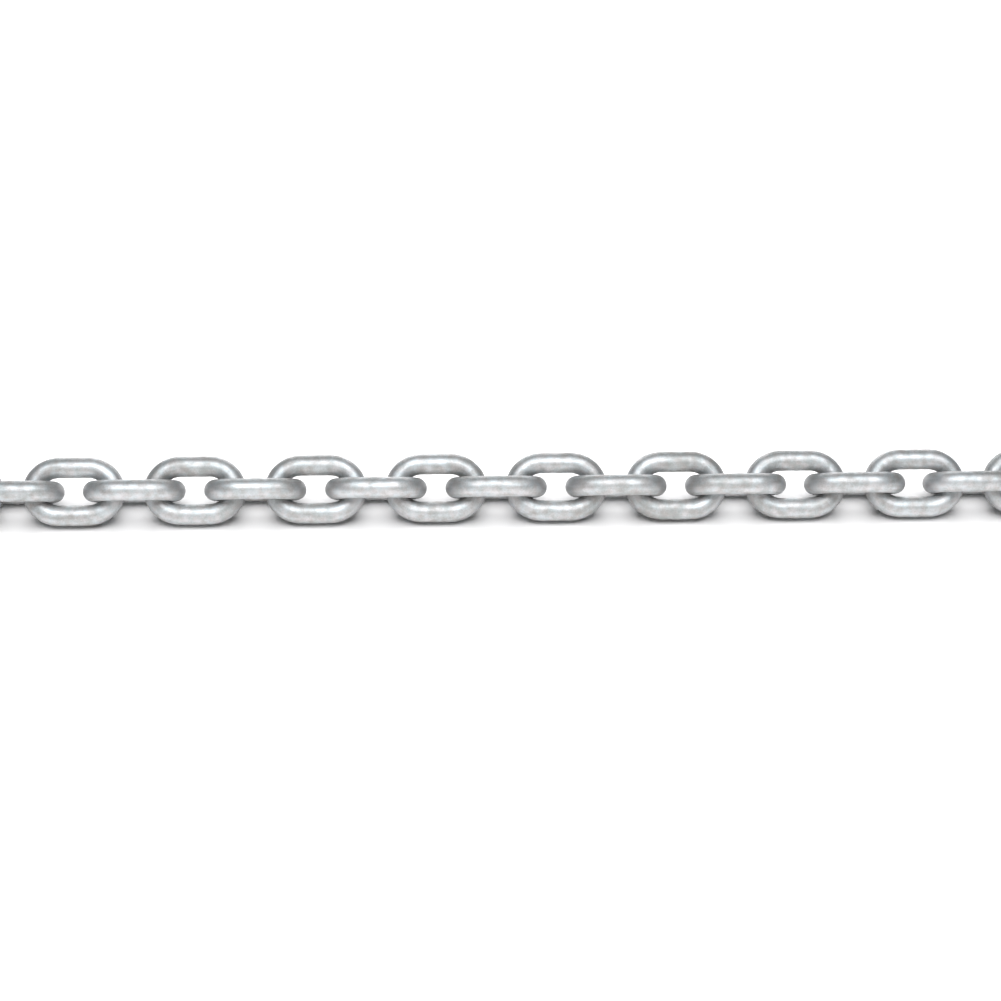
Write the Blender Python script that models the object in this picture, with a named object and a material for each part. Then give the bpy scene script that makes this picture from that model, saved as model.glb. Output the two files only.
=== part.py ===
"""Short-link steel chain: a metre of 8 mm hot-dip galvanised wire, bent and welded into 41 links.

The chain lies straight along X on level ground at z = 0. Each link leans half a right angle, to alternate
sides, so that it rests on one of its two legs and neighbours cross squarely. A link turns about the crown
of its neighbour towards the middle of the chain, and its origin is on that hinge.
"""

import math

import bpy
from mathutils import Matrix, Vector

# Driving dimensions, in metres
WIRE = 0.008             # diameter of the wire
PITCH = 0.024            # inside length of a link, and the step of the chain when pulled tight
OUTER_WIDTH = 0.0267     # a link across its two legs
LEG_STRAIGHT = 0.0112    # straight stretch of each leg, between the two crowns
LINK_COUNT = 41          # links in a metre of chain
SLACK = 0.0004           # play between two crowns that hook into each other
LEAN = math.radians(45)  # lean of each link, to alternate sides

# How the round wire is divided into flats
WIRE_SIDES = 8
RIDGE_RADIUS = 0.0041    # from the wire's middle to the ridges between its flats
CROWN_CORNERS = 8        # even, so that a flat lies square to the chain at the middle of each crown

# Hot-dip galvanised surface
ZINC_COLOUR = (0.52, 0.53, 0.54, 1.0)
ZINC_ROUGHNESS = 0.42
ZINC_METALLIC = 1.0

COLLECTION_NAME = "short_link_chain"

# Sizes that follow from these
HALF_SIDE = math.pi / WIRE_SIDES
HALF_CORNER = math.pi / CROWN_CORNERS / 2
FLAT_RADIUS = RIDGE_RADIUS * math.cos(HALF_SIDE)
HALF_LENGTH = (PITCH + WIRE) / 2
HALF_LEG = LEG_STRAIGHT / 2
LEG_OFFSET = (OUTER_WIDTH - WIRE) / 2
SPACING = PITCH - SLACK
HINGE_TO_MIDDLE = SPACING - HALF_LENGTH
AXIS_HEIGHT = LEG_OFFSET * math.sin(LEAN) + FLAT_RADIUS


def clear_scene():
    """Remove every object that the scene holds."""
    for obj in list(bpy.data.objects):
        bpy.data.objects.remove(obj, do_unlink=True)


def zinc_material():
    """Satin grey of a hot-dip zinc coat."""
    material = bpy.data.materials.new("galvanised_steel")
    material.use_nodes = True
    shader = material.node_tree.nodes["Principled BSDF"]
    shader.inputs["Base Color"].default_value = ZINC_COLOUR
    shader.inputs["Roughness"].default_value = ZINC_ROUGHNESS
    shader.inputs["Metallic"].default_value = ZINC_METALLIC
    return material


def crown_corners(end):
    """Corners of the wire's middle line round the crown at end +1 or -1, in order round the link.

    The line follows half an ellipse from leg to leg. Its corners stand outside the ellipse, so that each
    flat between two corners touches it halfway and the link keeps its full length.
    """
    outside = 1 / math.cos(HALF_CORNER)
    corners = []
    for number in range(CROWN_CORNERS):
        angle = (2 * number + 1) * HALF_CORNER - math.pi / 2
        along = HALF_LEG + (HALF_LENGTH - HALF_LEG) * outside * math.cos(angle)
        across = LEG_OFFSET * outside * math.sin(angle)
        corners.append(Vector((end * along + HINGE_TO_MIDDLE, end * across, 0)))
    return corners


def link_curve():
    """Closed oval of wire in its own XY plane, long side on X, with the origin on its hinge.

    The wire is turned by half a side, so that it has flats at its inside, on top and halfway between. A
    mitred corner narrows the wire across the bend. The larger radius makes up for that, and the scale
    that place_link gives the link takes the same off the wire's height again.
    """
    curve = bpy.data.curves.new("chain_link", "CURVE")
    curve.dimensions = "3D"
    curve.twist_mode = "Z_UP"
    curve.bevel_depth = RIDGE_RADIUS
    curve.bevel_resolution = WIRE_SIDES // 2 - 2
    corners = crown_corners(1) + crown_corners(-1)
    spline = curve.splines.new("POLY")
    spline.points.add(len(corners) - 1)
    for point, corner in zip(spline.points, corners):
        point.co = (*corner, 1)
        point.tilt = HALF_SIDE
        point.radius = 1 / math.cos(HALF_CORNER)
    spline.use_cyclic_u = True
    spline.use_smooth = True
    return curve


def place_link(curve, number, collection):
    """Lay one link, by its number from 0 at the -X end, on one leg, with its hinge towards the middle."""
    link = bpy.data.objects.new(f"link_{number + 1:02d}", curve)
    steps_out = number - (LINK_COUNT - 1) / 2
    outward = -1 if steps_out < 0 else 1
    place = Vector((steps_out * SPACING - outward * HINGE_TO_MIDDLE, 0, AXIS_HEIGHT))
    lean = Matrix.Rotation(LEAN if number % 2 else -LEAN, 3, "X")
    turn = lean @ Matrix.Rotation(0 if outward > 0 else math.pi, 3, "Z")
    scale = Vector((1, 1, math.cos(HALF_CORNER)))
    link.matrix_world = Matrix.LocRotScale(place, turn, scale)
    collection.objects.link(link)


def main():
    """Make the collection and lay its links in a row."""
    clear_scene()
    collection = bpy.data.collections.new(COLLECTION_NAME)
    bpy.context.scene.collection.children.link(collection)
    curve = link_curve()
    curve.materials.append(zinc_material())
    for number in range(LINK_COUNT):
        place_link(curve, number, collection)


main()
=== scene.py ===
"""Looks of a straight length of short-link chain: galvanised steel links lying on a pale floor.

Every link is swept in round wire over its solid in the frame, with the swelling of its weld and the
ripples and drips of its zinc coat. The chain lies along X. Lengths are in metres, or in millimetres where
a name ends in _mm, and angles are in degrees in the fields and in radians elsewhere.
"""

import logging
import math
from dataclasses import dataclass, field
from enum import Enum

import bpy
import numpy as np
from mathutils import Euler, Matrix, Vector

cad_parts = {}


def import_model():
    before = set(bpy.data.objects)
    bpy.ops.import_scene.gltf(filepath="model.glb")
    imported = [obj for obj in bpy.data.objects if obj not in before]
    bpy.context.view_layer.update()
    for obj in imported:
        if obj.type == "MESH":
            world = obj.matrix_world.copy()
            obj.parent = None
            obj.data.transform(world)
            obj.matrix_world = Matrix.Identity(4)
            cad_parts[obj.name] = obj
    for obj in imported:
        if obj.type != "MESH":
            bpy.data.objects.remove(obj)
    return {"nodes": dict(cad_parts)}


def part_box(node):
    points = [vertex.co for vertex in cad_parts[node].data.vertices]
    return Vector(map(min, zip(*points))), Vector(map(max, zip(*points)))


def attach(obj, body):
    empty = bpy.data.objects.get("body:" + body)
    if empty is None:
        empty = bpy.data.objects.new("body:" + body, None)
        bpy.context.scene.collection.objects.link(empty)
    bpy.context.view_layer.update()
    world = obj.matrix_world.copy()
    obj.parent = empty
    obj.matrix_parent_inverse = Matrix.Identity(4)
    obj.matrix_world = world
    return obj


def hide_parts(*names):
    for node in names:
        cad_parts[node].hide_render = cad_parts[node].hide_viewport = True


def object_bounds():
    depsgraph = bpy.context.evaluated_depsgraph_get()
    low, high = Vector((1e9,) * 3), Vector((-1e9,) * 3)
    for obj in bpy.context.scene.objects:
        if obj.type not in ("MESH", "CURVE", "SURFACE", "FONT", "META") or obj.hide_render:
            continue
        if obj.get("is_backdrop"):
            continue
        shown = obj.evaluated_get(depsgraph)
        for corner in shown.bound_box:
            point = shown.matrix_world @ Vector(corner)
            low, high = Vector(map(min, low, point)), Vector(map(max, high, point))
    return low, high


MM = 0.001
FIRST_SEED = 100
SIDESTEP = (1.0, 0.7, 0.3)  # way that a noise is shifted, so that two noises don't match

Colour = tuple[float, float, float]

log = logging.getLogger("chain")


class Lean(Enum):
    """Turn of a link about the chain's line, in degrees, by the side that its upper leg is on."""

    FRONT = -45.0
    BACK = 45.0


@dataclass(frozen=True)
class Wire:
    """Round wire of a link, and how finely it is divided.

    Attributes:
        radius_mm: Radius of the zinc-coated wire.
        stations: Rings along the closed wire.
        sides: Points round each ring.
        crown_thinning: Share that the wire loses towards the inside and outside of a bend.
        crown_widening: Share that it gains square to the link.
    """

    radius_mm: float = 4.05
    stations: int = 144
    sides: int = 44
    crown_thinning: float = 0.018
    crown_widening: float = 0.012


@dataclass(frozen=True)
class Oval:
    """Middle line of a link: two straight legs and two crowns that are half ellipses.

    Attributes:
        half_leg_mm: Half the straight stretch of a leg.
        crown_depth_mm: From the end of a leg to the middle of the wire at the crown.
        leg_offset_mm: From the link's middle to the middle of a leg's wire.
        crown_points: Points that each crown is drawn with before the line is divided evenly.
    """

    half_leg_mm: float = 5.6
    crown_depth_mm: float = 10.4
    leg_offset_mm: float = 9.35
    crown_points: int = 400

    def points(self, count: int) -> tuple[np.ndarray, np.ndarray, float]:
        """Space points evenly along the closed line, starting at the middle of the leg on the +Y side.

        Args:
            count: Number of points.

        Returns:
            The points and the unit tangents, both count x 2, and the line's length in millimetres.
        """
        turn = np.linspace(0, math.pi, self.crown_points)
        far = np.stack(
            [self.half_leg_mm + self.crown_depth_mm * np.sin(turn), self.leg_offset_mm * np.cos(turn)], 1
        )
        start = np.array([[0.0, self.leg_offset_mm]])
        line = np.concatenate([start, far, -far, start])
        steps = np.linalg.norm(np.diff(line, axis=0), axis=1)
        reach = np.concatenate([[0.0], np.cumsum(steps)])
        length = float(reach[-1])
        wanted = np.arange(count) * length / count
        points = np.stack([np.interp(wanted, reach, line[:, axis]) for axis in (0, 1)], 1)
        tangents = np.roll(points, -1, 0) - np.roll(points, 1, 0)
        tangents /= np.linalg.norm(tangents, axis=1, keepdims=True)
        return points, tangents, length


@dataclass(frozen=True)
class CoatRelief:
    """Unevenness that dipping in zinc leaves on the wire, and the swelling at its weld.

    Attributes:
        ripple_mm: Typical height of the ripples.
        ripples: Number of waves that make them up.
        waves_along: Least and greatest number of crests on the way round the link.
        waves_around: The same round the wire; a wave with less than 0 slants the other way.
        drip_height_mm: Least and greatest height of a drip.
        drip_size_mm: Least and greatest radius of a drip.
        drip_stretch: Length of a drip against its width.
        most_drips: Most drips on one link.
        weld_height_mm: Swelling of the wire at the weld.
        weld_reach_mm: How far the swelling runs to each side.
        ridge_share: Height of the narrow ridge in the middle of the swelling, against the rest of it.
        ridge_narrowing: How much narrower the ridge is.
        weld_trim: Share of the swelling that is trimmed off the wire's sides. Its inside loses twice that.
    """

    ripple_mm: float = 0.014
    ripples: int = 26
    waves_along: tuple[int, int] = (5, 26)
    waves_around: tuple[int, int] = (-4, 4)
    drip_height_mm: tuple[float, float] = (0.06, 0.2)
    drip_size_mm: tuple[float, float] = (0.6, 1.1)
    drip_stretch: float = 1.6
    most_drips: int = 3
    weld_height_mm: float = 0.09
    weld_reach_mm: float = 1.9
    ridge_share: float = 0.35
    ridge_narrowing: float = 4.0
    weld_trim: float = 0.35

    def ripple(self, along: np.ndarray, around: np.ndarray, chance: np.random.Generator) -> np.ndarray:
        """Add up waves that close on themselves both along the wire and around it.

        Args:
            along: Angle of each point on the way round the link.
            around: Angle of each point round the wire.
            chance: Source of the waves' places.

        Returns:
            Height of the ripples at each point.
        """
        height = np.zeros(np.broadcast(along, around).shape)
        for _ in range(self.ripples):
            waves_along = int(chance.integers(*self.waves_along, endpoint=True))
            waves_around = int(chance.integers(*self.waves_around, endpoint=True))
            phase = chance.uniform(0, 2 * math.pi)
            height += np.cos(waves_along * along + waves_around * around + phase)
        return height * self.ripple_mm / math.sqrt(self.ripples / 2)

    def drips(
        self, along_mm: np.ndarray, around_mm: np.ndarray, length_mm: float, girth_mm: float,
        chance: np.random.Generator,
    ) -> np.ndarray:
        """Place a few low drips at random.

        Args:
            along_mm: Distance of each point along the wire.
            around_mm: Distance of each point round the wire.
            length_mm: Whole length of the closed wire.
            girth_mm: Way round the wire.
            chance: Source of the drips' places.

        Returns:
            Height of the drips at each point.
        """
        height = np.zeros(np.broadcast(along_mm, around_mm).shape)
        for _ in range(int(chance.integers(0, self.most_drips + 1))):
            place = chance.uniform(0, length_mm)
            side = chance.uniform(0, girth_mm)
            size = chance.uniform(*self.drip_size_mm)
            away = np.abs(along_mm - place)
            away = np.minimum(away, length_mm - away)
            aside = np.abs(around_mm - side)
            aside = np.minimum(aside, girth_mm - aside)
            near = np.exp(-((away / (self.drip_stretch * size)) ** 2) - (aside / size) ** 2)
            height += chance.uniform(*self.drip_height_mm) * near
        return height

    def weld(self, along_mm: np.ndarray, place_mm: float, around: np.ndarray) -> np.ndarray:
        """Swell the wire round the weld, less on the inside of the link, where it was trimmed.

        Args:
            along_mm: Distance of each point along the wire.
            place_mm: Where the weld is along the wire.
            around: Angle round the wire, 0 on the outside of the link.

        Returns:
            Height of the swelling at each point.
        """
        away = (along_mm - place_mm) / self.weld_reach_mm
        collar = np.exp(-(away**2)) + self.ridge_share * np.exp(-((away * self.ridge_narrowing) ** 2))
        return self.weld_height_mm * collar * (1 - self.weld_trim + self.weld_trim * np.cos(around))


@dataclass(frozen=True)
class Mottle:
    """Soft noise in the coat.

    Attributes:
        size_mm: Size of its patches.
        detail: Number of finer octaves in it.
        shift: Step aside, so that two noises don't match.
        fade: Strength of each octave against the coarser one before it.
    """

    size_mm: float
    detail: float
    shift: float = 0.0
    fade: float = 0.55


@dataclass(frozen=True)
class CoatNodes:
    """Node tree of the coat, and the steps that the coat is made of.

    Attributes:
        tree: Node tree of the material.
    """

    tree: bpy.types.NodeTree

    def add(self, kind: str, **settings: str) -> bpy.types.Node:
        """Add a node.

        Args:
            kind: Its type.
            settings: Properties to set on it, by name.

        Returns:
            The node.
        """
        node = self.tree.nodes.new(kind)
        for name, value in settings.items():
            setattr(node, name, value)
        return node

    def join(self, source: bpy.types.NodeSocket, target: bpy.types.NodeSocket) -> None:
        """Link one socket to another."""
        self.tree.links.new(source, target)

    def attribute(self, name: str, output: str) -> bpy.types.NodeSocket:
        """Read an attribute that Link.mark writes."""
        return self.add("ShaderNodeAttribute", attribute_name=name).outputs[output]

    def noise(self, place: bpy.types.NodeSocket, mottle: Mottle) -> bpy.types.NodeSocket:
        """Add a soft noise.

        Args:
            place: Place on the surface, in metres.
            mottle: Size and detail of the noise.

        Returns:
            Its value, about 0.5 on average.
        """
        moved = self.add("ShaderNodeVectorMath", operation="ADD")
        moved.inputs[1].default_value = [mottle.shift * step for step in SIDESTEP]
        texture = self.add("ShaderNodeTexNoise")
        texture.inputs["Scale"].default_value = 1 / (mottle.size_mm * MM)
        texture.inputs["Detail"].default_value = mottle.detail
        texture.inputs["Roughness"].default_value = mottle.fade
        self.join(place, moved.inputs[0])
        self.join(moved.outputs[0], texture.inputs["Vector"])
        return texture.outputs["Fac"]

    def streaks(self, detail: float) -> bpy.types.NodeSocket:
        """Add streaks that run along the wire and close on themselves.

        Args:
            detail: Number of finer octaves in them.

        Returns:
            Their value, about 0.5 on average.
        """
        texture = self.add("ShaderNodeTexNoise", noise_dimensions="4D")
        texture.inputs["Scale"].default_value = 1.0
        texture.inputs["Detail"].default_value = detail
        self.join(self.attribute("lay", "Vector"), texture.inputs["Vector"])
        self.join(self.attribute("lay_turn", "Fac"), texture.inputs["W"])
        return texture.outputs["Fac"]

    def blend(
        self, first: bpy.types.NodeSocket, second: bpy.types.NodeSocket, share: float
    ) -> bpy.types.NodeSocket:
        """Mix two values.

        Args:
            first: First value.
            second: Second value.
            share: Share of the second.

        Returns:
            The mixed value.
        """
        mix = self.add("ShaderNodeMix")
        mix.inputs["Factor"].default_value = share
        self.join(first, mix.inputs["A"])
        self.join(second, mix.inputs["B"])
        return mix.outputs["Result"]

    def product(
        self, first: bpy.types.NodeSocket, second: bpy.types.NodeSocket
    ) -> bpy.types.NodeSocket:
        """Multiply two values.

        Args:
            first: First value.
            second: Second value.

        Returns:
            Their product.
        """
        times = self.add("ShaderNodeMath", operation="MULTIPLY")
        self.join(first, times.inputs[0])
        self.join(second, times.inputs[1])
        return times.outputs[0]

    def ramp(self, value: bpy.types.NodeSocket, span: tuple[float, float]) -> bpy.types.NodeSocket:
        """Spread a value smoothly over 0 to 1.

        Args:
            value: Value to spread.
            span: Values that become 0 and 1.

        Returns:
            The spread value.
        """
        step = self.add("ShaderNodeMapRange", interpolation_type="SMOOTHSTEP")
        step.inputs["From Min"].default_value = span[0]
        step.inputs["From Max"].default_value = span[1]
        self.join(value, step.inputs["Value"])
        return step.outputs["Result"]

    def rescale(
        self, value: bpy.types.NodeSocket, span: tuple[float, float], ends: tuple[float, float]
    ) -> bpy.types.NodeSocket:
        """Spread a value evenly from one span over another.

        Args:
            value: Value to spread.
            span: Values that become the two ends.
            ends: What they become.

        Returns:
            The spread value.
        """
        step = self.add("ShaderNodeMapRange")
        step.inputs["From Min"].default_value = span[0]
        step.inputs["From Max"].default_value = span[1]
        step.inputs["To Min"].default_value = ends[0]
        step.inputs["To Max"].default_value = ends[1]
        self.join(value, step.inputs["Value"])
        return step.outputs["Result"]

    def between(self, factor: bpy.types.NodeSocket, low: Colour, high: Colour) -> bpy.types.NodeSocket:
        """Go from one colour to another.

        Args:
            factor: 0 for the first colour, 1 for the second.
            low: First colour.
            high: Second colour.

        Returns:
            The mixed colour.
        """
        mix = self.add("ShaderNodeMix", data_type="RGBA")
        mix.inputs["A"].default_value = (*low, 1.0)
        mix.inputs["B"].default_value = (*high, 1.0)
        self.join(factor, mix.inputs["Factor"])
        return mix.outputs["Result"]

    def tinted(
        self, colour: bpy.types.NodeSocket, tint: bpy.types.NodeSocket
    ) -> bpy.types.NodeSocket:
        """Multiply a colour by a tint.

        Args:
            colour: Colour to tint.
            tint: Tint.

        Returns:
            The tinted colour.
        """
        mix = self.add("ShaderNodeMix", data_type="RGBA", blend_type="MULTIPLY")
        mix.inputs["Factor"].default_value = 1.0
        self.join(colour, mix.inputs["A"])
        self.join(tint, mix.inputs["B"])
        return mix.outputs["Result"]

    def covered(
        self, colour: bpy.types.NodeSocket, cover: Colour, amount: bpy.types.NodeSocket
    ) -> bpy.types.NodeSocket:
        """Lay one colour over another.

        Args:
            colour: Colour underneath.
            cover: Colour laid over it.
            amount: How much of it there is, from 0 to 1.

        Returns:
            The covered colour.
        """
        mix = self.add("ShaderNodeMix", data_type="RGBA")
        mix.inputs["B"].default_value = (*cover, 1.0)
        self.join(amount, mix.inputs["Factor"])
        self.join(colour, mix.inputs["A"])
        return mix.outputs["Result"]

    def bump(self, height: bpy.types.NodeSocket, depth_mm: float) -> bpy.types.Node:
        """Raise the surface in the light.

        Args:
            height: Height, from 0 to 1.
            depth_mm: Height of 1 in millimetres.

        Returns:
            The node that bends the normal.
        """
        bump = self.add("ShaderNodeBump")
        bump.inputs["Distance"].default_value = depth_mm * MM
        self.join(height, bump.inputs["Height"])
        return bump


@dataclass(frozen=True)
class ZincCoat:
    """Hot-dip galvanised finish: satin grey zinc with cloudy patches, fine grain and drawn-out streaks.

    Clouds, streaks, grain and batches are mixed into one value, which makes the coat dull or pale and
    rough or smooth.

    Attributes:
        pale: Colour of the brightest patches.
        dull: Colour of the dullest patches.
        cool: Tint of the coolest patches.
        warm: Tint of the warmest patches.
        painted_crown_shade: Colour of the shade painted on the outside of the crowns, towards the link's
            ends.
        roughness: Least and greatest roughness.
        metal: Share of bare metal reflection against chalky oxide.
        clouds: Cloudy patches.
        tints: Cool and warm patches.
        grain: Fine grain.
        batches: Duller and brighter stretches of chain.
        streak_detail: Number of finer octaves in the streaks.
        streak_share: Share of the streaks against the clouds.
        grain_share: Share of the grain against both.
        batch_share: Share of the batches against all three.
        patch_span: Mixed values where the coat is dullest and palest.
        tint_span: Values of the tints where the coat is coolest and warmest.
        painted_shade_span: Values of the clouds where the painted shade is gone and where it is whole.
        gloss_span: Mixed values where the coat is roughest and smoothest.
        grain_height_mm: Height of the grain in the bump.
        streak_height_mm: Height of the streaks in the bump.
    """

    pale: Colour = (0.58, 0.588, 0.606)
    dull: Colour = (0.385, 0.378, 0.371)
    cool: Colour = (0.96, 1.0, 1.0)
    warm: Colour = (1.0, 0.975, 0.958)
    painted_crown_shade: Colour = (0.30, 0.30, 0.31)
    roughness: tuple[float, float] = (0.45, 0.67)
    metal: float = 0.82
    clouds: Mottle = Mottle(3.6, 4.0)
    tints: Mottle = Mottle(2.88, 2.0, shift=7.0)
    grain: Mottle = Mottle(0.55, 2.0, shift=3.0)
    batches: Mottle = Mottle(26.0, 1.0, shift=11.0)
    streak_detail: float = 3.0
    streak_share: float = 0.34
    grain_share: float = 0.22
    batch_share: float = 0.26
    patch_span: tuple[float, float] = (0.38, 0.62)
    tint_span: tuple[float, float] = (0.36, 0.64)
    painted_shade_span: tuple[float, float] = (0.30, 0.60)
    gloss_span: tuple[float, float] = (0.3, 0.7)
    grain_height_mm: float = 0.02
    streak_height_mm: float = 0.02

    def material(self) -> bpy.types.Material:
        """Build the finish.

        Returns:
            The material, which reads the attributes that Link.mark writes.
        """
        material = bpy.data.materials.new("hot_dip_zinc")
        material.use_nodes = True
        nodes = CoatNodes(material.node_tree)
        shader = material.node_tree.nodes["Principled BSDF"]
        shader.inputs["Metallic"].default_value = self.metal
        place = nodes.add("ShaderNodeTexCoord").outputs["Object"]
        clouds = nodes.noise(place, self.clouds)
        grain = nodes.noise(place, self.grain)
        streaks = nodes.streaks(self.streak_detail)
        mixed = nodes.blend(clouds, streaks, self.streak_share)
        mixed = nodes.blend(mixed, grain, self.grain_share)
        mixed = nodes.blend(mixed, nodes.noise(place, self.batches), self.batch_share)
        smooth, rough = self.roughness
        nodes.join(self.colour(nodes, place, clouds, mixed), shader.inputs["Base Color"])
        nodes.join(nodes.rescale(mixed, self.gloss_span, (rough, smooth)), shader.inputs["Roughness"])
        nodes.join(self.relief(nodes, grain, streaks), shader.inputs["Normal"])
        return material

    def colour(
        self, nodes: CoatNodes, place: bpy.types.NodeSocket, clouds: bpy.types.NodeSocket,
        mixed: bpy.types.NodeSocket,
    ) -> bpy.types.NodeSocket:
        """Colour the coat: dull and pale patches, tinted cool and warm, with painted shade over the
        outside of the crowns.

        Args:
            nodes: Node tree of the coat.
            place: Place on the surface, in metres.
            clouds: Value of the clouds.
            mixed: Mixed value of the coat.

        Returns:
            The colour.
        """
        zinc = nodes.between(nodes.ramp(mixed, self.patch_span), self.dull, self.pale)
        tints = nodes.ramp(nodes.noise(place, self.tints), self.tint_span)
        zinc = nodes.tinted(zinc, nodes.between(tints, self.cool, self.warm))
        # Painted shade: a dark colour laid over the outside of the crowns, broken up by the clouds.
        amount = nodes.product(nodes.attribute("painted_crown_shade", "Fac"), nodes.ramp(clouds, self.painted_shade_span))
        return nodes.covered(zinc, self.painted_crown_shade, amount)

    def relief(
        self, nodes: CoatNodes, grain: bpy.types.NodeSocket, streaks: bpy.types.NodeSocket
    ) -> bpy.types.NodeSocket:
        """Raise the streaks, and the grain on top of them.

        Args:
            nodes: Node tree of the coat.
            grain: Value of the grain.
            streaks: Value of the streaks.

        Returns:
            The bent normal.
        """
        under = nodes.bump(streaks, self.streak_height_mm)
        top = nodes.bump(grain, self.grain_height_mm)
        nodes.join(under.outputs["Normal"], top.inputs["Normal"])
        return top.outputs["Normal"]


@dataclass(frozen=True)
class WireLay:
    """How the finish runs on a link's wire.

    The streaks are a noise in four dimensions. There, the way round the link is one circle and the way
    round the wire is another, so that both close on themselves.

    Attributes:
        link_circle: Radius of the first circle. It is small, which draws the streaks out.
        wire_circle: Radius of the second. It is larger, which makes them narrow.
        link_step: Step between two links in the noise, so that no two look alike.
        painted_shade_depth: Greatest strength of the painted shade on the outside of the crowns.
        painted_shade_start: How far into a crown the painted shade starts.
    """

    link_circle: float = 1.4
    wire_circle: float = 3.6
    link_step: float = 11.0
    painted_shade_depth: float = 0.75
    painted_shade_start: float = 0.55


@dataclass
class Link:
    """One closed link of the chain, over its solid in the frame.

    Attributes:
        number: Number of the link, from 1 at the -X end.
        middle: Middle of its solid.
        lean: Side that it leans to.
        wire: Its wire.
        oval: Its middle line.
        relief: Unevenness of its coat.
        lay: How its finish runs.
    """

    number: int
    middle: Vector
    lean: Lean
    wire: Wire = field(default_factory=Wire)
    oval: Oval = field(default_factory=Oval)
    relief: CoatRelief = field(default_factory=CoatRelief)
    lay: WireLay = field(default_factory=WireLay)

    @property
    def name(self) -> str:
        """Name of the link's solid and body."""
        return f"link_{self.number:02d}"

    def place(self) -> Matrix:
        """Matrix from the link's own frame, X along and Z square to it, to the row's."""
        lean = Euler((math.radians(self.lean.value), 0, 0)).to_matrix().to_4x4()
        return Matrix.Translation(self.middle) @ lean

    def build(self) -> bpy.types.Object:
        """Sweep the wire round the oval.

        Returns:
            The link's mesh object, in place.
        """
        points, tangents, length_mm = self.oval.points(self.wire.stations)
        along = np.arange(self.wire.stations)[:, None] * 2 * math.pi / self.wire.stations
        around = np.arange(self.wire.sides)[None, :] * 2 * math.pi / self.wire.sides
        bend = self.crown_share(points)[:, None]
        radius = self.radii(along, around, bend, length_mm)
        outward = np.stack([-tangents[:, 1], tangents[:, 0]], 1)
        flat = points[:, None, :] + (radius * np.cos(around))[:, :, None] * outward[:, None, :]
        local = np.concatenate([flat, (radius * np.sin(around))[:, :, None]], 2).reshape(-1, 3)
        place = np.array(self.place())
        mesh = bpy.data.meshes.new(self.name + "_wire")
        mesh.from_pydata((local * MM @ place[:3, :3].T + place[:3, 3]).tolist(), [], self.faces())
        mesh.shade_smooth()
        self.mark(mesh, along, around, bend)
        piece = bpy.data.objects.new(self.name + "_wire", mesh)
        bpy.context.scene.collection.objects.link(piece)
        return piece

    def radii(
        self, along: np.ndarray, around: np.ndarray, bend: np.ndarray, length_mm: float
    ) -> np.ndarray:
        """Work out the wire's radius at each point: bent at the crowns, welded, and coated with zinc.

        Args:
            along: Angle of each ring on the way round the link, from the middle of its back leg.
            around: Angle of each point round the wire, 0 on the outside of the link.
            bend: How far each ring is into a crown.
            length_mm: Whole length of the closed wire.

        Returns:
            The radii in millimetres.
        """
        chance = np.random.default_rng(FIRST_SEED + self.number)
        along_mm = along * length_mm / (2 * math.pi)
        girth_mm = 2 * math.pi * self.wire.radius_mm
        around_mm = around / (2 * math.pi) * girth_mm
        shape = 1 - bend * self.wire.crown_thinning * np.cos(around) ** 2
        shape = shape + bend * self.wire.crown_widening * np.sin(around) ** 2
        radius = self.wire.radius_mm * shape
        radius = radius + self.relief.ripple(along, around, chance)
        radius = radius + self.relief.drips(along_mm, around_mm, length_mm, girth_mm, chance)
        front_leg_mm = length_mm / 2
        return radius + self.relief.weld(along_mm, front_leg_mm, around)

    def crown_share(self, points: np.ndarray) -> np.ndarray:
        """Say how far each point of the middle line is into a crown: 0 on a leg, 1 at its far end."""
        into = (np.abs(points[:, 0]) - self.oval.half_leg_mm) / self.oval.crown_depth_mm
        return np.clip(into, 0, 1)

    def faces(self) -> list[tuple[int, int, int, int]]:
        """Join each ring to the next, all round the link.

        Returns:
            The faces, as numbers of their corners.
        """
        rings, sides = self.wire.stations, self.wire.sides
        faces = []
        for ring in range(rings):
            after = (ring + 1) % rings
            for side in range(sides):
                beside = (side + 1) % sides
                here, there = ring * sides, after * sides
                faces.append((here + side, here + beside, there + beside, there + side))
        return faces

    def mark(self, mesh: bpy.types.Mesh, along: np.ndarray, around: np.ndarray, bend: np.ndarray) -> None:
        """Write what the finish reads: how the wire lies in the streaks' noise, and where shade is painted
        on its crowns.

        Args:
            mesh: Link's mesh.
            along: Angle of each ring on the way round the link.
            around: Angle of each point round the wire, 0 on the outside of the link.
            bend: How far each ring is into a crown.
        """
        every_along, every_around = np.broadcast_arrays(along, around)
        lay = np.stack(
            [
                self.lay.link_circle * np.cos(every_along),
                self.lay.link_circle * np.sin(every_along),
                self.lay.wire_circle * np.cos(every_around),
            ],
            2,
        )
        turn = self.lay.wire_circle * np.sin(every_around) + self.lay.link_step * self.number
        # Mask of the painted shade: it grows towards the far end of each crown, on the outside of the
        # link.
        outside = np.clip(np.cos(around), 0, 1) ** 2
        start = self.lay.painted_shade_start
        painted_crown_shade = self.lay.painted_shade_depth * np.clip((bend - start) / (1 - start), 0, 1) * outside
        self.write(mesh, "lay", "FLOAT_VECTOR", "vector", lay)
        self.write(mesh, "lay_turn", "FLOAT", "value", turn)
        self.write(mesh, "painted_crown_shade", "FLOAT", "value", painted_crown_shade)

    def write(self, mesh: bpy.types.Mesh, name: str, kind: str, key: str, values: np.ndarray) -> None:
        """Store one attribute of the mesh's points.

        Args:
            mesh: Link's mesh.
            name: Attribute's name.
            kind: Its data type.
            key: Field of its items.
            values: Its values, in the order of the points.
        """
        attribute = mesh.attributes.new(name, kind, "POINT")
        attribute.data.foreach_set(key, np.ascontiguousarray(values, np.float32).ravel())

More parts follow.
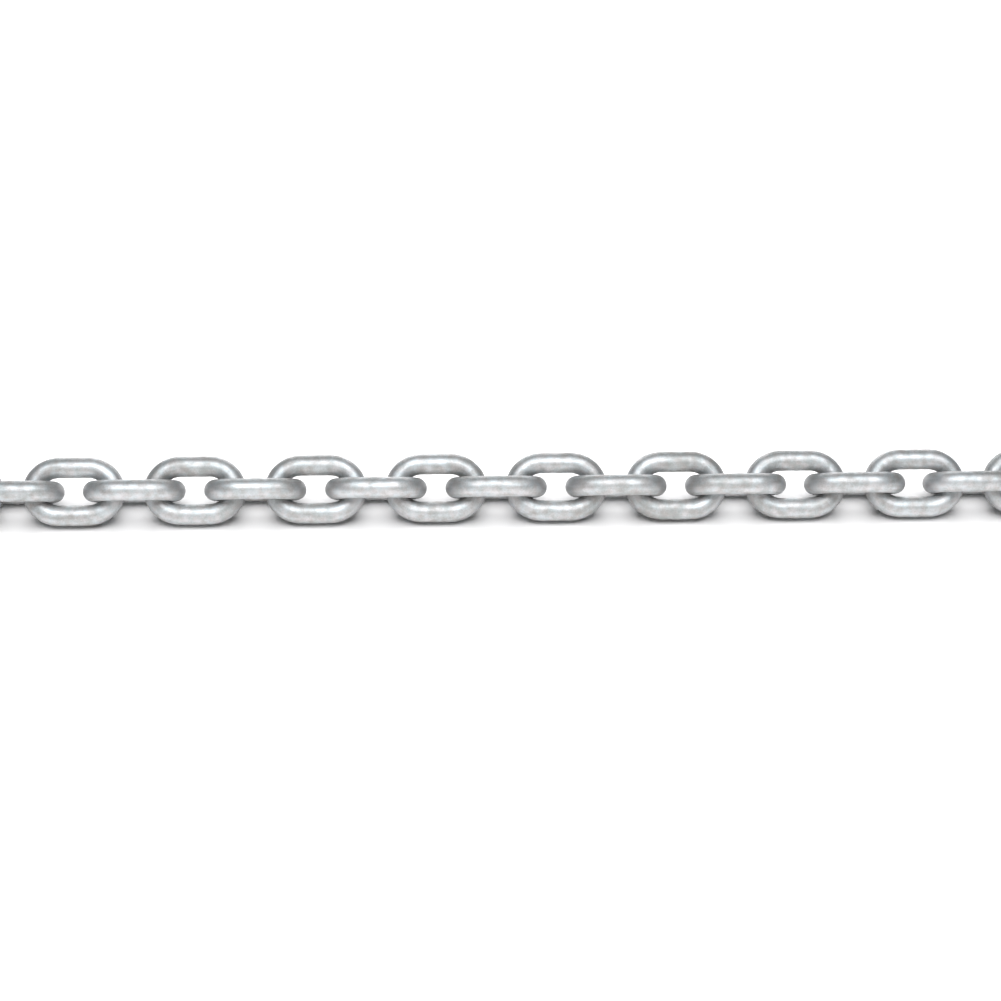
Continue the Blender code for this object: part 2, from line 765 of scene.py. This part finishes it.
    def dress(self, piece: bpy.types.Object, finish: bpy.types.Material) -> None:
        """Give the link its finish, and let it move with its body in place of its solid.

        Args:
            piece: Link's mesh object.
            finish: Material of the coat.
        """
        piece.data.materials.append(finish)
        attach(piece, self.name)
        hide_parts(self.name)


@dataclass
class Chain:
    """The whole length of chain.

    Attributes:
        coat: Finish of every link.
    """

    coat: ZincCoat = field(default_factory=ZincCoat)

    def links(self, nodes: dict[str, bpy.types.Object]) -> list[Link]:
        """List the links that the frame holds.

        Args:
            nodes: Solids of the frame by name.

        Returns:
            A link for each solid.
        """
        found = []
        for name in sorted(nodes):
            number = int(name.rsplit("_", 1)[1])
            low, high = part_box(name)
            lean = Lean.FRONT if number % 2 else Lean.BACK
            found.append(Link(number, (low + high) / 2, lean))
        return found

    def build(self, nodes: dict[str, bpy.types.Object]) -> list[bpy.types.Object]:
        """Build and dress every link.

        Args:
            nodes: Solids of the frame by name.

        Returns:
            The links' mesh objects.
        """
        finish = self.coat.material()
        pieces = []
        for link in self.links(nodes):
            piece = link.build()
            link.dress(piece, finish)
            pieces.append(piece)
        return pieces


@dataclass(frozen=True)
class FloorPaint:
    """Matt white floor.

    Attributes:
        white: Its colour.
        roughness: Its roughness.
        gloss: Its specular level; 0.5 is usual.
    """

    white: Colour = (0.89, 0.888, 0.893)
    roughness: float = 0.9
    gloss: float = 0.1

    def material(self) -> bpy.types.Material:
        """Build the finish.

        Returns:
            The material.
        """
        material = bpy.data.materials.new("floor_white")
        material.use_nodes = True
        shader = material.node_tree.nodes["Principled BSDF"]
        shader.inputs["Base Color"].default_value = (*self.white, 1.0)
        shader.inputs["Roughness"].default_value = self.roughness
        shader.inputs["Specular IOR Level"].default_value = self.gloss
        return material


class Lit(Enum):
    """What a lamp lights, by the name of its group."""

    CHAIN = "lit_chain"
    FLOOR = "lit_floor"


@dataclass(frozen=True)
class SoftBox:
    """Rectangular soft box that hangs parallel to the chain, faces it, and is flagged off from the rest.

    Attributes:
        name: Name of the light.
        lit: What it lights.
        elevation: Its place over the chain, in degrees from the floor in front, so 90 is overhead.
        depth: Its side across the chain, in metres.
        brightness: Its power for each square metre of its face, in units of pi watts.
        colour: Its colour.
        distance: From the chain to its middle.
        length: Its side along the chain.
    """

    name: str
    lit: Lit
    elevation: float
    depth: float
    brightness: float
    colour: Colour
    distance: float = 1.1
    length: float = 1.2

    def hang(self, group: bpy.types.Collection) -> bpy.types.Object:
        """Hang the soft box.

        Args:
            group: Objects that its light reaches.

        Returns:
            The light.
        """
        data = bpy.data.lights.new(self.name, "AREA")
        data.shape = "RECTANGLE"
        data.size = self.length
        data.size_y = self.depth
        data.energy = math.pi * self.length * self.depth * self.brightness
        data.color = self.colour
        light = bpy.data.objects.new(self.name, data)
        rise = math.radians(self.elevation)
        light.location = self.distance * Vector((0, -math.cos(rise), math.sin(rise)))
        light.rotation_euler = (math.pi / 2 - rise, 0, 0)
        light.light_linking.receiver_collection = group
        bpy.context.scene.collection.objects.link(light)
        return light


@dataclass(frozen=True)
class Skylight:
    """Wide, distant light that is the same all over the floor.

    Attributes:
        name: Name of the light.
        lit: What it lights.
        elevation: Its middle, in degrees from the floor in front, so 90 is overhead.
        spread: How wide it looks from the floor, in degrees.
        strength: Light that falls on a surface square to it, in watts per square metre.
    """

    name: str
    lit: Lit
    elevation: float
    spread: float
    strength: float

    def hang(self, group: bpy.types.Collection) -> bpy.types.Object:
        """Set the light up.

        Args:
            group: Objects that its light reaches.

        Returns:
            The light.
        """
        data = bpy.data.lights.new(self.name, "SUN")
        data.angle = math.radians(self.spread)
        data.energy = self.strength
        light = bpy.data.objects.new(self.name, data)
        light.rotation_euler = (math.pi / 2 - math.radians(self.elevation), 0, 0)
        light.light_linking.receiver_collection = group
        bpy.context.scene.collection.objects.link(light)
        return light


@dataclass
class Studio:
    """Floor, soft light and camera.

    Attributes:
        paint: Finish of the floor.
        floor_half: Half the floor's side.
        lamps: Lights.
        sky_low: Colour of the surroundings at the horizon, as the chain reflects them.
        sky_high: Their colour overhead.
        backdrop: Colour of the surroundings in the picture itself.
        aim: Point that the camera looks at, from the chain's middle line.
        distance: From the aim to the camera.
        azimuth: Camera's turn round the chain, in degrees.
        elevation: Its height above the horizon, in degrees.
        roll: Its turn about its own line of sight, in degrees.
        lens: Focal length in millimetres.
        nearest: Distance from which on it sees things.
    """

    paint: FloorPaint = field(default_factory=FloorPaint)
    floor_half: float = 60.0
    lamps: tuple[SoftBox | Skylight, ...] = (
        SoftBox("key_box", Lit.CHAIN, 73.0, 0.50, 8.5, (0.94, 0.975, 1.0)),
        SoftBox("front_card", Lit.CHAIN, 14.0, 0.46, 1.7, (1.0, 0.985, 0.955)),
        SoftBox("back_card", Lit.CHAIN, 168.0, 0.36, 3.6, (1.0, 1.0, 1.0)),
        Skylight("floor_light", Lit.FLOOR, 100.0, 70.0, 5.95),
    )
    sky_low: Colour = (0.05, 0.05, 0.05)
    sky_high: Colour = (0.10, 0.10, 0.10)
    backdrop: Colour = (1.66, 1.66, 1.67)
    aim: tuple[float, float, float] = (0.00147, -0.00769, 0.0)
    distance: float = 0.882
    azimuth: float = -2.33
    elevation: float = 42.24
    roll: float = 0.96
    lens: float = 81.2
    nearest: float = 0.01

    def lay_floor(self, level: float) -> bpy.types.Object:
        """Lay the floor under the chain.

        Args:
            level: Height of the floor.

        Returns:
            The floor.
        """
        half = self.floor_half
        outline = [(-half, -half, level), (half, -half, level), (half, half, level), (-half, half, level)]
        mesh = bpy.data.meshes.new("floor")
        mesh.from_pydata(outline, [], [(0, 1, 2, 3)])
        mesh.materials.append(self.paint.material())
        floor = bpy.data.objects.new("floor", mesh)
        bpy.context.scene.collection.objects.link(floor)
        floor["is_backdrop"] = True
        return floor

    def hang_lamps(self, lit: dict[Lit, list[bpy.types.Object]]) -> list[bpy.types.Object]:
        """Hang every light, each for its own group.

        Args:
            lit: Objects of each group.

        Returns:
            The lights.
        """
        groups = {}
        for target, things in lit.items():
            groups[target] = bpy.data.collections.new(target.value)
            for thing in things:
                groups[target].objects.link(thing)
        return [lamp.hang(groups[lamp.lit]) for lamp in self.lamps]

    def light_surroundings(self) -> None:
        """Surround the chain with a dim room, and the picture with a white backdrop."""
        world = bpy.data.worlds.new("surroundings")
        world.use_nodes = True
        bpy.context.scene.world = world
        nodes = world.node_tree.nodes
        links = world.node_tree.links
        place = nodes.new("ShaderNodeTexCoord")
        height = nodes.new("ShaderNodeSeparateXYZ")
        mix = nodes.new("ShaderNodeMix")
        mix.data_type = "RGBA"
        mix.inputs["A"].default_value = (*self.sky_low, 1.0)
        mix.inputs["B"].default_value = (*self.sky_high, 1.0)
        links.new(place.outputs["Generated"], height.inputs["Vector"])
        links.new(height.outputs["Z"], mix.inputs["Factor"])
        seen = nodes.new("ShaderNodeMix")
        seen.data_type = "RGBA"
        seen.inputs["B"].default_value = (*self.backdrop, 1.0)
        links.new(nodes.new("ShaderNodeLightPath").outputs["Is Camera Ray"], seen.inputs["Factor"])
        links.new(mix.outputs["Result"], seen.inputs["A"])
        links.new(seen.outputs["Result"], nodes["Background"].inputs["Color"])

    def place_camera(self, axis_height: float) -> bpy.types.Object:
        """Place the camera.

        Args:
            axis_height: Height of the chain's middle line.

        Returns:
            The camera.
        """
        turn, rise, roll = (math.radians(angle) for angle in (self.azimuth, self.elevation, self.roll))
        back = Vector((math.sin(turn) * math.cos(rise), -math.cos(turn) * math.cos(rise), math.sin(rise)))
        level = Vector((math.cos(turn), math.sin(turn), 0))
        steep = back.cross(level)
        right = level * math.cos(roll) + steep * math.sin(roll)
        up = steep * math.cos(roll) - level * math.sin(roll)
        data = bpy.data.cameras.new("camera")
        data.lens = self.lens
        data.clip_start = self.nearest
        camera = bpy.data.objects.new("camera", data)
        pose = Matrix((right, up, back)).transposed().to_4x4()
        pose.translation = Vector(self.aim) + Vector((0, 0, axis_height)) + back * self.distance
        camera.matrix_world = pose
        bpy.context.scene.collection.objects.link(camera)
        bpy.context.scene.camera = camera
        return camera

    def set_up(
        self, level: float, axis_height: float, pieces: list[bpy.types.Object]
    ) -> list[bpy.types.Object]:
        """Set the whole studio up.

        Args:
            level: Height of the floor.
            axis_height: Height of the chain's middle line.
            pieces: Chain's pieces.

        Returns:
            The floor, the lights and the camera.
        """
        bpy.context.scene.view_settings.view_transform = "Standard"
        floor = self.lay_floor(level)
        lights = self.hang_lamps({Lit.CHAIN: pieces, Lit.FLOOR: [floor]})
        self.light_surroundings()
        return [floor, *lights, self.place_camera(axis_height)]


def main() -> None:
    """Dress the chain and set up the studio round it."""
    logging.basicConfig(level=logging.INFO, format="%(message)s")
    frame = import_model()
    solid_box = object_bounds()
    middle_height = (solid_box[0].z + solid_box[1].z) / 2
    pieces = Chain().build(frame["nodes"])
    for piece in pieces:
        log.info("%s: %d faces", piece.name, len(piece.data.polygons))
    floor_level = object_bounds()[0].z
    for thing in Studio().set_up(floor_level, middle_height, pieces):
        log.info("%s is in place", thing.name)


if __name__ == "__main__":
    main()
